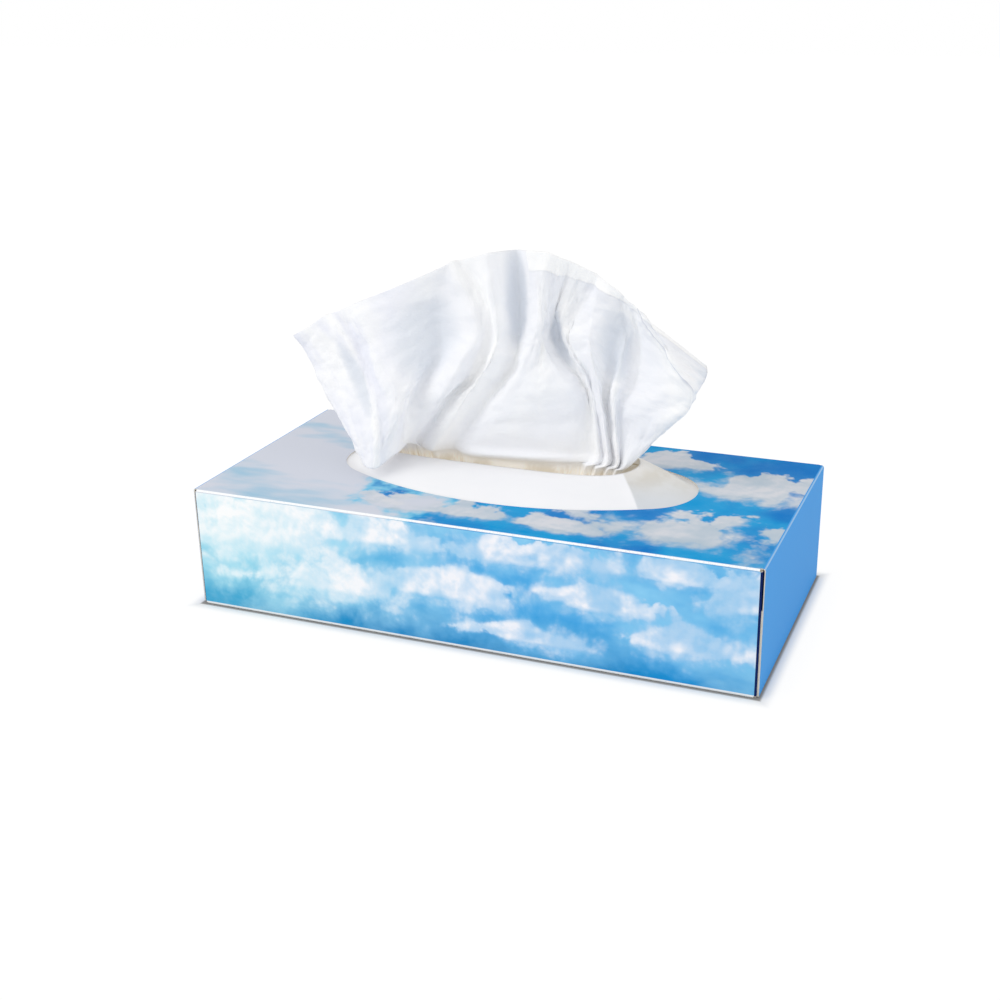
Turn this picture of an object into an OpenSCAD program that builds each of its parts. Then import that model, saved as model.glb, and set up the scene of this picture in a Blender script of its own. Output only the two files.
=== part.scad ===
// Flat tissue box: one folded paperboard carton with an oval cut-out, a slit film window glued
// under it, an interfolded stack of two-ply sheets, and the top sheet pulled up through the slit.
// Millimetres. Origin at the middle of the bottom, +X along the length, +Y to the back, +Z up.

/* [Sheets] */
// Side of one square sheet, which is folded once to half its depth in the stack
sheet_side = 210; // [200:1:220]
// Thickness of the pulled sheet
sheet_t = 0.3; // [0.2:0.05:0.4]
// Height of the stack that is left in the carton
stack_h = 40; // [25:1:60]
// Folded bundles that show along the long sides of the stack
stack_bundles = 20; // [10:1:30]

/* [Carton] */
// Thickness of the paperboard
board_t = 0.45; // [0.35:0.05:0.6]
// Outer radius of every crease
crease_r = 1; // [0.8:0.1:1.5]
// Free height between the stack and the top panel
head_room = 9.1; // [8:0.1:20]
// Play between the stack and each long panel
side_play = 3.05; // [2:0.05:6]
// Play between the stack and each closed end
end_play = 8.65; // [5:0.05:20]
// Open gap on both sides of the end flaps
flap_gap = 1.2; // [1:0.1:2]
// Gap between the foot of the outer end flap and the floor
flap_foot = 0.6; // [0.2:0.1:1.5]
// Height of the inner end flap, which hinges at the bottom panel
inner_flap_h = 34; // [20:1:38]
// Length of the dust flaps, which hinge at the long panels
dust_flap_l = 32; // [15:1:50]
// Height of the glue flap inside the back panel
glue_flap_h = 16; // [8:1:25]

/* [Cut-out and film] */
// Length of the oval cut-out in the top panel
cut_l = 150; // [130:1:170]
// Depth of the oval cut-out
cut_w = 71; // [64:1:80]
// Radius of the rounded ends of the oval
cut_end_r = 22; // [16:1:28]
// Distance of the cut-out behind the middle of the top panel
cut_back = 5; // [0:0.5:6]
// Thickness of the film
film_t = 0.2; // [0.15:0.05:0.3]
// Width of the band that is glued under the top panel
film_band = 11; // [8:0.5:13]
// Length of the slit in the film
slit_l = 110; // [108:1:116]
// Distance of the slit's middle to the left of the cut-out's middle
slit_left = 8.5; // [7.5:0.5:9.5]
// How far the lifted back lip leans to the right at the slit's right end
lip_lean = 6; // [4:0.5:8]
// Open gap between the front lip of the slit and the sheet
slit_gap = 6; // [5:0.5:7]
// Height of the front lip over the top panel
front_lip = 1.8; // [1:0.1:3]
// Height of the back lip, which the sheet has pulled up
back_lip = 12; // [6:0.5:12]

/* [Pulled sheet] */
// Height of the sheet's free edge over the top panel
fan_h = 92; // [84:1:100]
// Depth of the gathers inside the slit, to each side
gather = 2; // [1:0.25:2.5]
// Clearance from the gathers to the back lip
lip_clear = 3; // [2.5:0.25:4]
// Radius of the turns of the sheet's tail on the stack
turn_r = 0.7; // [0.5:0.1:1]
// Clearance between the tail and the stack
tail_clear = 0.3; // [0.2:0.05:0.5]
// Distance of the tail's turn from the back edge of the stack
tail_inset = 3; // [2:0.5:10]

/* [Hidden] */
$fn = 64;

// Closed carton, wrapped round the stack
end_layers = 3;
carton_l = sheet_side + 2 * (end_play + end_layers * board_t);
carton_w = sheet_side / 2 + 2 * (side_play + board_t);
carton_h = stack_h + head_room + 2 * board_t;
flap_w = carton_w - 2 * flap_gap;
tube_x = carton_l / 2 - 2 * board_t - crease_r;

// The folds of the pulled sheet from left to right, drawn for a sheet side and a fan height as in
// DRAWN. Each has five places from the free edge to the foot, as [across, back, up] from the middle
// of the cut-out on the top panel. A place is drawn on the upright plane there, and then goes back
// along its line from DRAWN_FROM, so that ridges and valleys keep their outline from that side. A
// low middle number is a ridge, a high one a valley. The last pair is the place along the slit, in
// percent of half its length from its middle, and -1 to 1 for the front to the back of the gathers.
FOLDS = [
    [[-100, 3, 49], [-91, 0, 35], [-83, -6, 20], [-75, -16, 5], [-70, -24, -5], [-88, -0.2]],
    [[-93, 1, 53], [-83, -2, 38], [-76, -9, 22], [-71, -18, 6], [-68, -26, -6], [-86, -0.2]],
    [[-84, -1, 59], [-73, -5, 42], [-67, -13, 26], [-64, -20, 11], [-65, -26, -6], [-83, -0.1]],
    [[-78, -1, 61], [-68, -5, 45], [-62, -12, 29], [-60, -19, 12], [-62, -23, -4], [-80, 0]],
    [[-72, -2, 64], [-63, -8, 48], [-56, -13, 33], [-53, -17, 20], [-58, -19, 0], [-77, 0.1]],
    [[-53, 1, 72], [-46, 0, 56], [-44, -4, 40], [-47, -10, 25], [-54, -14, 3], [-74, 0.3]],
    [[-31, 3, 82], [-33, 7, 62], [-34, 4, 44], [-46, -3, 25], [-51, -7, 8], [-71, 0.6]],
    [[-26, 4, 85], [-17, 2, 60], [-25, -3, 41], [-35, -3, 25], [-45, 1, 10], [-67, -0.6]],
    [[-21, 5, 86], [-10, 6, 63], [-16, 4, 42], [-29, 3, 28], [-42, 5, 8], [-62, 1]],
    [[-11, -1, 89], [-7, 2, 60], [-11, -2, 46], [-22, -2, 29], [-37, 1, 7], [-54, -1]],
    [[1, 8, 91], [2, 11, 62], [-1, 8, 46], [-14, 6, 27], [-27, 6, 9], [-39, 1]],
    [[7, 4, 91], [9, 3, 62], [5, 2, 49], [-7, 1, 27], [-20, 4, 7], [-24, -1]],
    [[14, 2, 91], [11, 4, 64], [10, 3, 46], [9, 3, 30], [9, 7, 8], [21, 0]],
    [[19, 3, 89], [13, 7, 64], [14, 5, 51], [24, 4, 34], [24, 9, 10], [48, 0.6]],
    [[23, 4, 88], [17, 12, 66], [20, 12, 52], [30, 10, 36], [32, 11, 12], [58, 1]],
    [[28, 5, 86], [20, 8, 67], [22, 7, 55], [31, 7, 39], [35, 9, 12], [63, -0.6]],
    [[33, 5, 84], [26, 10, 68], [24, 8, 55], [32, 7, 40], [37, 11, 12], [67, 0.6]],
    [[36, 5, 82], [32, 4, 67], [31, 2, 55], [35, 3, 39], [39, 7, 11], [71, -0.8]],
    [[42, 4, 78], [41, 7, 65], [40, 8, 46], [38, 8, 32], [41, 11, 11], [75, 1]],
    [[45, 4, 75], [46, 8, 64], [43, 5, 46], [41, 3, 33], [43, 6, 10], [79, -0.8]],
    [[49, 3, 72], [50, 10, 63], [50, 9, 44], [45, 6, 32], [44, 9, 10], [82, 0.6]],
    [[52, 2, 70], [58, 3, 58], [61, 1, 42], [55, 1, 28], [46, 5, 9], [85, -0.6]],
    [[55, 2, 67], [65, 1, 52], [71, 1, 38], [62, 0, 26], [48, 6, 9], [87, 0]],
    [[77, 10, 52], [77, 10, 46], [72, 8, 37], [63, 6, 26], [49, 8, 10], [89, 0.6]],
];
DRAWN = [210, 92, 92];
DRAWN_FROM = [200, -500, 199];

// Steps of the curves across and up the folds, and how far each curve swings past a straight line
places = 5;
across_share = 0.3;
rise_share = 0.5;
steps_across = 4;
steps_up = 4;
columns = (len(FOLDS) - 1) * steps_across;
throat_y = slit_gap + gather;

// The sheet leaves the slit upright, and then climbs over the front lip where it hangs forward
throat_drop = 1.5;
throat_rise = 2;
lip_share = 0.3;
lip_rise = 3.5;
lip_reach = 15;

// The tail lies on the stack: back to its edge, then forward again underneath itself
stack_top = -board_t - head_room;
tail_low = stack_top + tail_clear + sheet_t / 2;
tail_high = tail_low + 2 * turn_r;
tail_far = sheet_side / 4 - tail_inset - cut_back;
tail_bend = 3;
tail_end = tail_far - (sheet_side - fan_h + tail_high - (tail_far - throat_y));
turn_steps = 3;
bend_steps = 3;

// Where the tail spreads out behind the slit: share of the way to its turn, share of full width
TAIL_SPREAD = [[0.75, 0.85], [0.4, 0.5]];
spread_share = 0.12;

function lerp(a, b, f) = a + (b - a) * f;
function smooth(f) = f * f * (3 - 2 * f);
function unit(v) = norm(v) < 1e-6 ? [0, 0, 0] : v / norm(v);
function tangent(before, here, after) = unit(here - before) + unit(after - here);
function through(a, b, c, d, f, bend) =
    lerp(b, c, smooth(f)) + bend * f * (1 - f) * ((c - a) * (1 - f) - (d - b) * f);

// A drawn place in millimetres, at the sizes that are set
function place(p) =
    let (seen = [p[0], 0, p[2]], q = seen + (seen - DRAWN_FROM) * p[1] / -DRAWN_FROM[1])
    [q[0] * sheet_side / DRAWN[0], q[1] * fan_h / DRAWN[1], q[2] * fan_h / DRAWN[2]];

// Fold k as its five places, and its place in the slit
function fold(k) =
    let (f = FOLDS[max(0, min(len(FOLDS) - 1, k))], along = f[places][0] / 100, side = f[places][1])
    [for (n = [0:places - 1]) place(f[n]),
        [along * slit_l / 2 - slit_left, throat_y + side * gather, 0]];
function fold_at(i) =
    let (k = min(floor(i / steps_across), len(FOLDS) - 2), f = i / steps_across - k)
    through(fold(k - 1), fold(k), fold(k + 1), fold(k + 2), f, across_share);

// A smooth curve up a fold, with t from 0 at the foot to places - 1 at the free edge
function up_fold(r, t) =
    let (k = min(floor(t), places - 2), last = places - 1)
    let (at = function (n) r[last - max(0, min(last, n))])
    through(at(k - 1), at(k), at(k + 1), at(k + 2), t - k, rise_share);
function over_lip(r) =
    let (foot = r[places - 1], slit = r[places])
    let (hang = smooth(max(0, min(1, -foot[1] / lip_reach))))
    lerp(slit + [0, 0, throat_rise], foot, lip_share) + [0, 0, lip_rise * hang];

// Rows of the tail as [y, z, spread across the stack, share of the gathers left]
TAIL = [
    [tail_end, tail_low, 1, 0],
    [lerp(tail_end, tail_far, 0.5), tail_low, 1, 0],
    for (s = [0:turn_steps]) let (a = -90 + 180 * s / turn_steps)
        [tail_far + turn_r * cos(a), tail_low + turn_r + turn_r * sin(a), 1, 0],
    for (s = TAIL_SPREAD) [lerp(throat_y, tail_far, s[0]), tail_high, s[1], 0],
    for (s = [0:bend_steps]) let (a = -90 + 90 * s / bend_steps)
        [throat_y + tail_bend * (1 - cos(a)), tail_high + tail_bend * (1 + sin(a)),
            spread_share * (1 - cos(a)), smooth(s / bend_steps)],
];
function tail_row(slit, q, t) =
    [lerp(slit[0], (q - 0.5) * sheet_side, t[2]), t[0] + (slit[1] - throat_y) * t[3], t[1]];

function sheet_column(i) =
    let (r = fold_at(i), slit = r[places], q = i / columns)
    [for (t = TAIL) tail_row(slit, q, t), slit - [0, 0, throat_drop], over_lip(r),
        for (s = [0:steps_up * (places - 1)]) up_fold(r, s / steps_up)];

// A sheet of thickness t over a grid of points, as one closed polyhedron
module sheet_solid(grid, t) {
    nu = len(grid);
    nv = len(grid[0]);
    normals = [for (i = [0:nu - 1]) [for (j = [0:nv - 1])
        unit(cross(tangent(grid[max(i - 1, 0)][j], grid[i][j], grid[min(i + 1, nu - 1)][j]),
            tangent(grid[i][max(j - 1, 0)], grid[i][j], grid[i][min(j + 1, nv - 1)])))]];
    side = function (s) [for (i = [0:nu - 1], j = [0:nv - 1]) grid[i][j] + normals[i][j] * s * t / 2];
    at = function (s, i, j) s * nu * nv + i * nv + j;
    quad = function (a, b, c, d) [[a, b, c], [a, c, d]];
    faces = [
        for (i = [0:nu - 2], j = [0:nv - 2]) each concat(
            quad(at(0, i, j), at(0, i, j + 1), at(0, i + 1, j + 1), at(0, i + 1, j)),
            quad(at(1, i, j), at(1, i + 1, j), at(1, i + 1, j + 1), at(1, i, j + 1))),
        for (i = [0:nu - 2]) each concat(
            quad(at(0, i, 0), at(0, i + 1, 0), at(1, i + 1, 0), at(1, i, 0)),
            quad(at(0, i + 1, nv - 1), at(0, i, nv - 1), at(1, i, nv - 1), at(1, i + 1, nv - 1))),
        for (j = [0:nv - 2]) each concat(
            quad(at(0, 0, j + 1), at(0, 0, j), at(1, 0, j), at(1, 0, j + 1)),
            quad(at(0, nu - 1, j), at(0, nu - 1, j + 1), at(1, nu - 1, j + 1), at(1, nu - 1, j))),
    ];
    polyhedron(concat(side(1), side(-1)), faces, convexity = 10);
}

// A plate of thickness t over closed loops of points, from its inner edge to its outer edge
module loops_solid(loops, t) {
    m = len(loops);
    n = len(loops[0]);
    side = function (s) [for (j = [0:m - 1], i = [0:n - 1]) loops[j][i] + [0, 0, s * t / 2]];
    at = function (s, j, i) s * m * n + j * n + i % n;
    quad = function (a, b, c, d) [[a, b, c], [a, c, d]];
    faces = [
        for (j = [0:m - 2], i = [0:n - 1]) each concat(
            quad(at(0, j, i), at(0, j, i + 1), at(0, j + 1, i + 1), at(0, j + 1, i)),
            quad(at(1, j, i), at(1, j + 1, i), at(1, j + 1, i + 1), at(1, j, i + 1))),
        for (i = [0:n - 1]) each concat(
            quad(at(0, 0, i + 1), at(0, 0, i), at(1, 0, i), at(1, 0, i + 1)),
            quad(at(0, m - 1, i), at(0, m - 1, i + 1), at(1, m - 1, i + 1), at(1, m - 1, i))),
    ];
    polyhedron(concat(side(1), side(-1)), faces, convexity = 10);
}

// Film: loops from the slit's lips to the cut-out, then the flat band under the top panel. The
// slope bulges at its front and back, the back lip keeps left_share of its height at the left end,
// and the lower corner_share is, the squarer are the corners of the glued band.
film_z = -board_t - film_t / 2;
film_steps = 60;
film_rows = 7;
rim_inset = 1.5;
left_share = 0.1;
corner_share = 0.35;
bulge = 1.5;
function film_lip(a) =
    let (h = smooth((sin(a) + 1) / 2), right = (1 + cos(a)) / 2)
    [cos(a) * slit_l / 2 - slit_left + lip_lean * h * right,
        h * (throat_y + gather + lip_clear),
        lerp(front_lip, back_lip * lerp(left_share, 1, right), h)];
function film_rim(a) =
    [cos(a) * (cut_l / 2 - rim_inset), sin(a) * (cut_w / 2 - rim_inset), film_z];
function square_off(c) = sign(c) * pow(abs(c), corner_share);
function film_edge(a) =
    [square_off(cos(a)) * (cut_l / 2 + film_band), square_off(sin(a)) * (cut_w / 2 + film_band), film_z];
function film_rise(a, f) = [0, 0, bulge * 4 * f * (1 - f) * sin(a) * sin(a)];
function film_loop(j) = [for (i = [0:film_steps - 1]) let (a = 360 * i / film_steps)
    j > film_rows ? film_edge(a)
        : lerp(film_lip(a), film_rim(a), j / film_rows) + film_rise(a, j / film_rows)];

module on_cut_out() {
    translate([0, cut_back, carton_h]) children();
}

// Oval of four arcs, each tangent to the next
module oval(l, w, end_r) {
    side_r = (pow(l / 2 - end_r, 2) + pow(w / 2, 2) - end_r * end_r) / (w - 2 * end_r);
    reach = (l / 2 - end_r) * side_r / (side_r - end_r);
    intersection() {
        translate([0, w / 2 - side_r]) circle(side_r, $fn = 180);
        translate([0, side_r - w / 2]) circle(side_r, $fn = 180);
        square([2 * reach, w], center = true);
    }
    for (s = [-1, 1]) translate([s * (l / 2 - end_r), 0]) circle(end_r);
}

// Quarter of a ring of board, for a crease between two panels
module crease() {
    intersection() {
        difference() {
            circle(crease_r);
            circle(crease_r - board_t);
        }
        square(crease_r);
    }
}

// Section across the carton: four panels in a tube, closed by the glue flap inside the back
module tube_section() {
    half = carton_w / 2;
    translate([-half + crease_r, carton_h - board_t]) square([carton_w - 2 * crease_r, board_t]);
    translate([-half, crease_r]) square([board_t, carton_h - 2 * crease_r]);
    translate([half - board_t, 0]) square([board_t, carton_h - crease_r]);
    translate([-half + crease_r, 0]) square([carton_w - board_t - 2 * crease_r, board_t]);
    translate([half - 2 * board_t, crease_r]) square([board_t, glue_flap_h]);
    translate([half - crease_r, carton_h - crease_r]) crease();
    translate([-half + crease_r, carton_h - crease_r]) mirror([1, 0]) crease();
    translate([-half + crease_r, crease_r]) mirror([1, 0]) mirror([0, 1]) crease();
    translate([half - board_t - crease_r, crease_r]) mirror([0, 1]) crease();
}

// A flap in section: a strip of panel of length run, its crease, and the flap down to drop
module flap_section(run, drop) {
    if (run > 0) translate([-run, crease_r - board_t]) square([run, board_t]);
    crease();
    translate([crease_r - board_t, -drop]) square([board_t, drop]);
}

// Flaps at the right end, from the inside out: two dust flaps, the inner flap, the outer flap
module end_flaps() {
    for (s = [0, 1]) mirror([0, s, 0])
        translate([tube_x, carton_w / 2 - crease_r, crease_r])
            linear_extrude(carton_h - 2 * crease_r) flap_section(0, dust_flap_l - crease_r);
    translate([tube_x + board_t, flap_w / 2, crease_r]) rotate([90, 0, 0])
        linear_extrude(flap_w) mirror([0, 1]) flap_section(board_t, inner_flap_h - crease_r);
    translate([tube_x + 2 * board_t, flap_w / 2, carton_h - crease_r]) rotate([90, 0, 0])
        linear_extrude(flap_w)
            flap_section(2 * board_t, carton_h - crease_r - flap_foot);
}

// The carton is one blank, folded and glued
module carton() {
    color("#4FA3E0")
    difference() {
        union() {
            rotate([90, 0, 90]) translate([0, 0, -tube_x]) linear_extrude(2 * tube_x) tube_section();
            for (s = [0, 1]) mirror([s, 0, 0]) end_flaps();
        }
        on_cut_out() translate([0, 0, -2 * board_t]) linear_extrude(3 * board_t)
            oval(cut_l, cut_w, cut_end_r);
    }
}

// Clear film with a slit, whose back lip the pulled sheet lifts
module slit_film() {
    color("#F4F6F8", 0.85) on_cut_out()
        loops_solid([for (j = [0:film_rows + 1]) film_loop(j)], film_t);
}

// Interfolded stack: bundles with round folded edges, one on the next
module tissue_stack() {
    bundle = stack_h / stack_bundles;
    color("#F7F7F5") for (k = [0:stack_bundles - 1])
        translate([-sheet_side / 2, 0, board_t + k * bundle]) rotate([90, 0, 90])
            linear_extrude(sheet_side) bundle_section(bundle);
}

module bundle_section(t) {
    half = sheet_side / 4;
    translate([-half + t / 2, 0]) square([2 * half - t, t]);
    for (s = [-1, 1]) translate([s * (half - t / 2), t / 2]) circle(t / 2);
}

// The top sheet, gathered in the slit, fanned out above it and lying on the stack below it
module pulled_tissue() {
    color("#FBFBFC") on_cut_out()
        sheet_solid([for (i = [0:columns]) sheet_column(i)], sheet_t);
}

carton();
slit_film();
tissue_stack();
pulled_tissue();
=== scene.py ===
# %% [markdown]
# # A tissue box in Blender
# The box is one printed paperboard blank with an oval cut-out in its top. A thin film with a
# slit is glued under the cut-out, a stack of interfolded sheets lies below it, and the top sheet
# stands up through the slit. The packed CAD model gives the frame. This lesson dresses it:
# the carton keeps its CAD shape and gets a print, and finer pieces stand for the soft nodes.

# %% Load the frame
import math

import bpy
import numpy as np
from mathutils import Matrix, Vector


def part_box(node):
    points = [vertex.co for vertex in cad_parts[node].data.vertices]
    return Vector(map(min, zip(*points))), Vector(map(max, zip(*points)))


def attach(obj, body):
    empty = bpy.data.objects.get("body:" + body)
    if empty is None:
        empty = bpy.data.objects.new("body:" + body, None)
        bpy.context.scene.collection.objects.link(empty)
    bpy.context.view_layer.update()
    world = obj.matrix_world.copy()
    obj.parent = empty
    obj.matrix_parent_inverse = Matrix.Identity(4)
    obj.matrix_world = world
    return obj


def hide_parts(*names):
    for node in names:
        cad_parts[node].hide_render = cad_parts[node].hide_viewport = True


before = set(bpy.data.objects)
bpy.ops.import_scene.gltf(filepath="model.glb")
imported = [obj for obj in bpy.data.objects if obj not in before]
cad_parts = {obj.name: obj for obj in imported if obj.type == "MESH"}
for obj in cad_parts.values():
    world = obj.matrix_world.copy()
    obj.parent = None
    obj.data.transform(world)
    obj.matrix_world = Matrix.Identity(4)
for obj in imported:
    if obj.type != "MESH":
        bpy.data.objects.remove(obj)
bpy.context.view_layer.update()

MM = 0.001
print("CAD nodes:", sorted(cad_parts))

# %% [markdown]
# ## The camera
# The photograph was taken from the right of the front panel and from a little above it, with the
# camera slightly rolled. Three angles, a place and a focal length say all of that. They were
# fitted to the corners of the carton, whose real size is known.

# %% Set up the camera
AZIMUTH, ELEVATION, ROLL = (math.radians(d) for d in (22.57, 21.32, -1.05))
CAMERA_PLACE = Vector((200.4, -495.4, 248.6)) * MM
LENS_MM, SENSOR_MM = 50.9, 36.0

forward = Vector((-math.sin(AZIMUTH) * math.cos(ELEVATION),
                  math.cos(AZIMUTH) * math.cos(ELEVATION), -math.sin(ELEVATION)))
camera_data = bpy.data.cameras.new("camera")
camera_data.lens, camera_data.sensor_width = LENS_MM, SENSOR_MM
camera_data.clip_start, camera_data.clip_end = 0.01, 20
camera = bpy.data.objects.new("camera", camera_data)
bpy.context.scene.collection.objects.link(camera)
turn = forward.to_track_quat("-Z", "Y").to_matrix() @ Matrix.Rotation(ROLL, 3, "Z")
camera.matrix_world = Matrix.Translation(CAMERA_PLACE) @ turn.to_4x4()
bpy.context.scene.camera = camera
print("camera looks along", [round(v, 3) for v in forward])

# %% [markdown]
# ## Node maths
# Procedural materials and Geometry Nodes are both arithmetic on coordinates. Wired by hand they
# are hard to read, so this small class wraps one socket and turns Python's own operators into
# Math nodes. One method, `add`, makes every other kind of node: its settings come first, then
# what goes into its sockets.


# %% A socket that can be used in sums
class Socket:
    """One output in a node tree, with operators that add Math nodes to the same tree."""

    def __init__(self, tree, output):
        self.tree, self.output = tree, output

    def add(self, kind, settings=None, out=0, **inputs):
        """A new node. A socket goes by its name with _ for spaces, or by in0, in1 and so on."""
        node = self.tree.nodes.new(kind)
        for name, value in (settings or {}).items():
            setattr(node, name, value)
        for name, value in inputs.items():
            by_number = name.startswith("in") and name[2:].isdigit()
            target = node.inputs[int(name[2:]) if by_number else name.replace("_", " ")]
            if isinstance(value, Socket):
                self.tree.links.new(value.output, target)
            else:
                target.default_value = value
        return Socket(self.tree, node.outputs[out])

    def math(self, operation, *values):
        inputs = {f"in{i}": v for i, v in enumerate(values)}
        return self.add("ShaderNodeMath", {"operation": operation}, **inputs)

    def __add__(self, other):
        return self.math("ADD", self, other)

    def __radd__(self, other):
        return self.math("ADD", other, self)

    def __sub__(self, other):
        return self.math("SUBTRACT", self, other)

    def __rsub__(self, other):
        return self.math("SUBTRACT", other, self)

    def __mul__(self, other):
        return self.math("MULTIPLY", self, other)

    def __rmul__(self, other):
        return self.math("MULTIPLY", other, self)

    def __truediv__(self, other):
        return self.math("DIVIDE", self, other)

    def __rtruediv__(self, other):
        return self.math("DIVIDE", other, self)

    def __abs__(self):
        return self.math("ABSOLUTE", self)

    def at_least(self, other):
        return self.math("MAXIMUM", self, other)

    def at_most(self, other):
        return self.math("MINIMUM", self, other)

    def over(self, limit):
        """1 where this is greater than limit, else 0."""
        return self.math("GREATER_THAN", self, limit)

    def under(self, limit):
        """1 where this is less than limit, else 0."""
        return self.math("LESS_THAN", self, limit)

    def root(self):
        return self.math("SQRT", self)

    def step(self, low, high):
        """0 up to low, 1 from high on, and smooth between."""
        return self.add("ShaderNodeMapRange", {"interpolation_type": "SMOOTHSTEP"},
                        Value=self, From_Min=low, From_Max=high)

    def mix(self, first, second):
        """The first colour where this is 0, the second where it is 1."""
        return self.add("ShaderNodeMix", {"data_type": "RGBA"}, out=2, in0=self, in6=first, in7=second)

    def parts(self):
        """The x, y and z of a vector."""
        outputs = self.add("ShaderNodeSeparateXYZ", Vector=self).output.node.outputs
        return [Socket(self.tree, output) for output in outputs]

    def vector(self, operation, **inputs):
        return self.add("ShaderNodeVectorMath", {"operation": operation}, in0=self, **inputs)

    def noise(self, scale, detail=2.0, roughness=0.5, out=0):
        """Noise from 0 to 1 at this place, scale times per millimetre. out=1 is its colour."""
        return self.add("ShaderNodeTexNoise", out=out, Vector=self, Scale=scale, Detail=detail,
                        Roughness=roughness)


print("what a socket can do:", ", ".join(name for name in vars(Socket) if name[0] != "_"))


# %% New materials and colours
def srgb(red, green, blue):
    """A colour as a picture editor shows it, 0 to 255, in the linear light that shaders use."""
    linear = [((c / 255 + 0.055) / 1.055) ** 2.4 if c > 10 else c / 255 / 12.92
              for c in (red, green, blue)]
    return (*linear, 1.0)


def new_material(name, **constants):
    """A material, its Principled shader, and the Object coordinates in millimetres."""
    material = bpy.data.materials.new(name)
    material.use_nodes = True
    shader = material.node_tree.nodes["Principled BSDF"]
    for socket, value in constants.items():
        shader.inputs[socket.replace("_", " ")].default_value = value
    start = Socket(material.node_tree, None)
    place = start.add("ShaderNodeTexCoord", out=3).vector("SCALE", Scale=1 / MM)
    return material, shader, place


def feed(shader, name, socket):
    socket.tree.links.new(socket.output, shader.inputs[name])


def feed_bump(shader, height, strength, distance):
    feed(shader, "Normal", height.add("ShaderNodeBump", Height=height, Strength=strength,
                                      Distance=distance))


print("sky blue in linear light:", [round(c, 3) for c in srgb(79, 163, 224)])

# %% [markdown]
# ## The print on the carton
# The blank was printed flat and then folded, so the sky runs on from the front panel over the
# top. The shader rebuilds that: `x` is the place along the carton and `round_it` is the distance
# round the tube from the bottom of the front. The back panel has its own strip of sky, which
# starts where the top ends and stands upright. Clouds are ovals on that flat blank whose edges
# are broken up by noise. A second look a little higher up tells which side of a puff faces the
# light, and a thin veil surrounds each cloud. On the top the clouds are greyer, partly print and
# partly painted shade. Only the outer skin is printed: inside, and on cut edges, the bare board
# shows. The dust flaps' skin is dark navy, partly ink and partly painted shade in the narrow gap.
# The creases are painted paler in broken patches, and a white margin runs round the foot of the
# tube.

# %% Sizes of the carton, from the CAD node
carton_low, carton_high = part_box("carton")
LENGTH, DEPTH, HEIGHT = (round((b - a) / MM, 2) for a, b in zip(carton_low, carton_high))
BOARD_T, CREASE_R = 0.45, 1.0
print("carton in mm:", LENGTH, DEPTH, HEIGHT)

# %% Where a point is on the board
# A point this close to the outer face counts as its printed skin, in millimetres.
SKIN = 0.06


def rounded_gap(first, second, radius):
    """How far a point is outside (+) or inside (-) a rounded corner of that radius."""
    a, b = first.at_least(0.0), second.at_least(0.0)
    return (a * a + b * b).root() + first.at_least(second).at_most(0.0) - radius


def board_masks(x, y, z):
    """Masks for the printed tube, the plain ends, the dust flaps' skin and the two sets of creases."""
    over_side = abs(y) - (DEPTH / 2 - CREASE_R)
    over_top = abs(z - HEIGHT / 2) - (HEIGHT / 2 - CREASE_R)
    over_end = abs(x) - (LENGTH / 2 - CREASE_R)
    over_roof = z - (HEIGHT - CREASE_R)
    tube = rounded_gap(over_side, over_top, CREASE_R).over(-SKIN)
    ends = rounded_gap(over_end, over_roof, CREASE_R).over(-SKIN) * over_end.over(0.0)
    over_flap = over_end + 2 * BOARD_T
    flaps = abs(rounded_gap(over_flap, over_side, CREASE_R)).under(SKIN) * over_flap.over(0.0)
    creases = over_side.at_most(over_top).step(0.1, 0.45)
    end_creases = over_end.at_most(over_roof).step(0.3, 0.6)
    return tube, ends, flaps, creases, end_creases


print("printed skin in mm:", SKIN, "and the creases' outer radius:", CREASE_R)

# %% Clouds as ovals with broken edges
# Middle and half sizes of each cloud on the flat blank: across, round_it, in millimetres.
CLOUDS = [
    (-88, 33, 38, 18), (-56, 17, 34, 11), (-34, 40, 30, 10), (-4, 22, 30, 11), (34, 9, 32, 7),
    (24, 40, 26, 9), (56, 26, 24, 9), (88, 15, 26, 9), (76, 42, 28, 7), (108, 34, 16, 13),
    (-14, 62, 26, 9), (34, 62, 22, 9), (84, 69, 42, 19), (98, 118, 24, 17),
    (52, 142, 24, 11), (0, 152, 30, 9), (-60, 176, 30, 14), (20, 190, 34, 13),
    (84, 182, 24, 14), (-104, 196, 20, 10),
]
WARP_MM = 9.0
PUFF_MM = 2.2


def cloud_ovals(across, round_it):
    """1 in the middle of a cloud, 0 on its oval, negative outside. Bottoms are flatter."""
    field = None
    for middle, level, half_width, half_height in CLOUDS:
        a = (across - middle) / half_width
        b = (round_it - level) / half_height
        b = b.at_least(b * -1.7)
        oval = 1 - (a * a + b * b).root()
        field = oval if field is None else field.at_least(oval)
    return field


def broken_edges(flat):
    """Billows that break the edges of clouds up: positive inside a puff, negative between puffs."""
    big = flat.noise(0.036, 5, 0.58)
    puffs = flat.add("ShaderNodeTexVoronoi", {"feature": "SMOOTH_F1"}, Vector=flat, Scale=0.07,
                     Detail=3, Roughness=0.55, Smoothness=0.5)
    wisps = flat.noise(0.2, 6, 0.62)
    return (big - 0.5) * 3.4 + (0.42 - puffs) * 1.7 + (wisps - 0.5) * 0.8


print("cloud ovals on the blank:", len(CLOUDS))

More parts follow.
